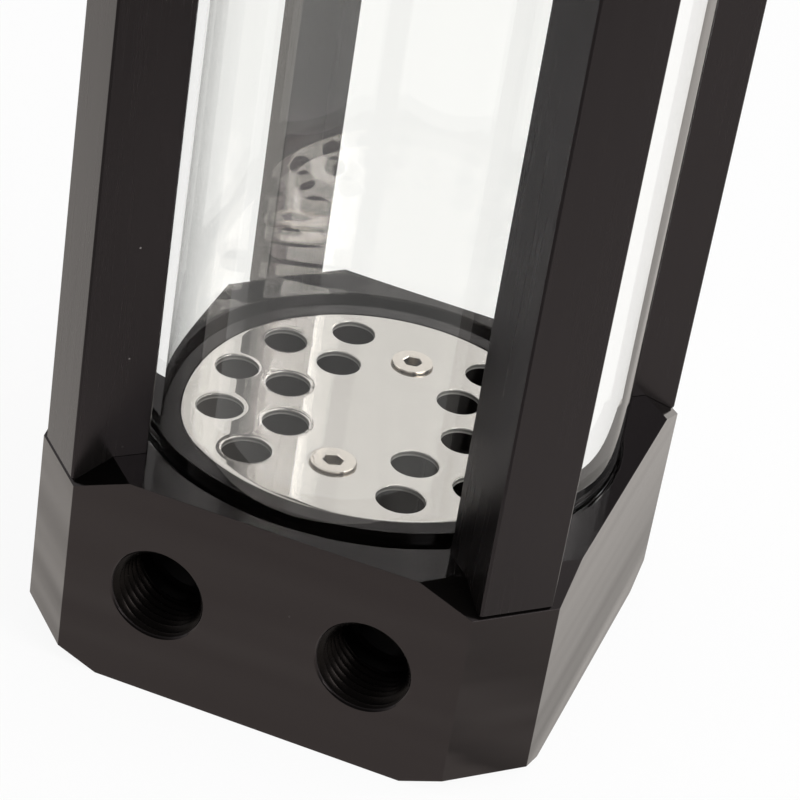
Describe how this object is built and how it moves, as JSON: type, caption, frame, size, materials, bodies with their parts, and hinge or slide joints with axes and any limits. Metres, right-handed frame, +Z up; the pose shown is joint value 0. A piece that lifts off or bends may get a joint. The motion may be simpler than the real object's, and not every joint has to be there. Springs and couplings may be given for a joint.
{
  "type": "water cooling reservoir",
  "caption": "Liquid cooling reservoir: a glass tube clamped between an octagonal ported base and a cap by corner struts, with a perforated flow plate and a screw-in fill plug.",
  "frame": {"origin": "middle of the base's underside", "axes": "+Z up along the tube, -Y out of the face with the two ports, +X to the right seen from there"},
  "size_m": [0.075, 0.075, 0.2015],
  "materials": {
    "block_plastic": "machined black acetal, satin",
    "strut_aluminium": "black anodised, brushed lengthwise",
    "tube_glass": "clear borosilicate, polished",
    "plate_steel": "stainless steel, polished",
    "plate_screw_steel": "stainless steel, bright",
    "black_screw_steel": "black oxide",
    "seal_rubber": "matt",
    "plug_metal": "brass with a satin black coat"
  },
  "bodies": {
    "reservoir": {"base_block": "block_plastic", "top_cap": "block_plastic", "strut_front_left": "strut_aluminium", "strut_front_right": "strut_aluminium", "strut_rear_right": "strut_aluminium", "strut_rear_left": "strut_aluminium", "glass_tube": "tube_glass", "flow_plate": "plate_steel", "plate_screw_front": "plate_screw_steel", "plate_screw_rear": "plate_screw_steel", "base_strut_screw_front_left": "black_screw_steel", "base_strut_screw_front_right": "black_screw_steel", "base_strut_screw_rear_right": "black_screw_steel", "base_strut_screw_rear_left": "black_screw_steel", "cap_strut_screw_front_left": "black_screw_steel", "cap_strut_screw_front_right": "black_screw_steel", "cap_strut_screw_rear_right": "black_screw_steel", "cap_strut_screw_rear_left": "black_screw_steel", "base_tube_seal": "seal_rubber", "cap_tube_seal": "seal_rubber"},
    "plug_seal": {"fill_plug_seal": "seal_rubber"},
    "plug": {"fill_plug": "plug_metal"}
  },
  "joints": [
    {"name": "plug_lift", "type": "slide", "parent": "reservoir", "child": "plug_seal", "axis": [0, 0, 1], "range_m": [0, 0.0081]},
    {"name": "plug_turn", "type": "hinge", "parent": "plug_seal", "child": "plug", "pos_m": [0, 0, 0.196], "axis": [0, 0, 1], "range_deg": [0, 2160]}
  ],
  "couplings": [
    {"joint": "plug_lift", "follows": "plug_turn", "m_per_rad": 0.00021279}
  ]
}
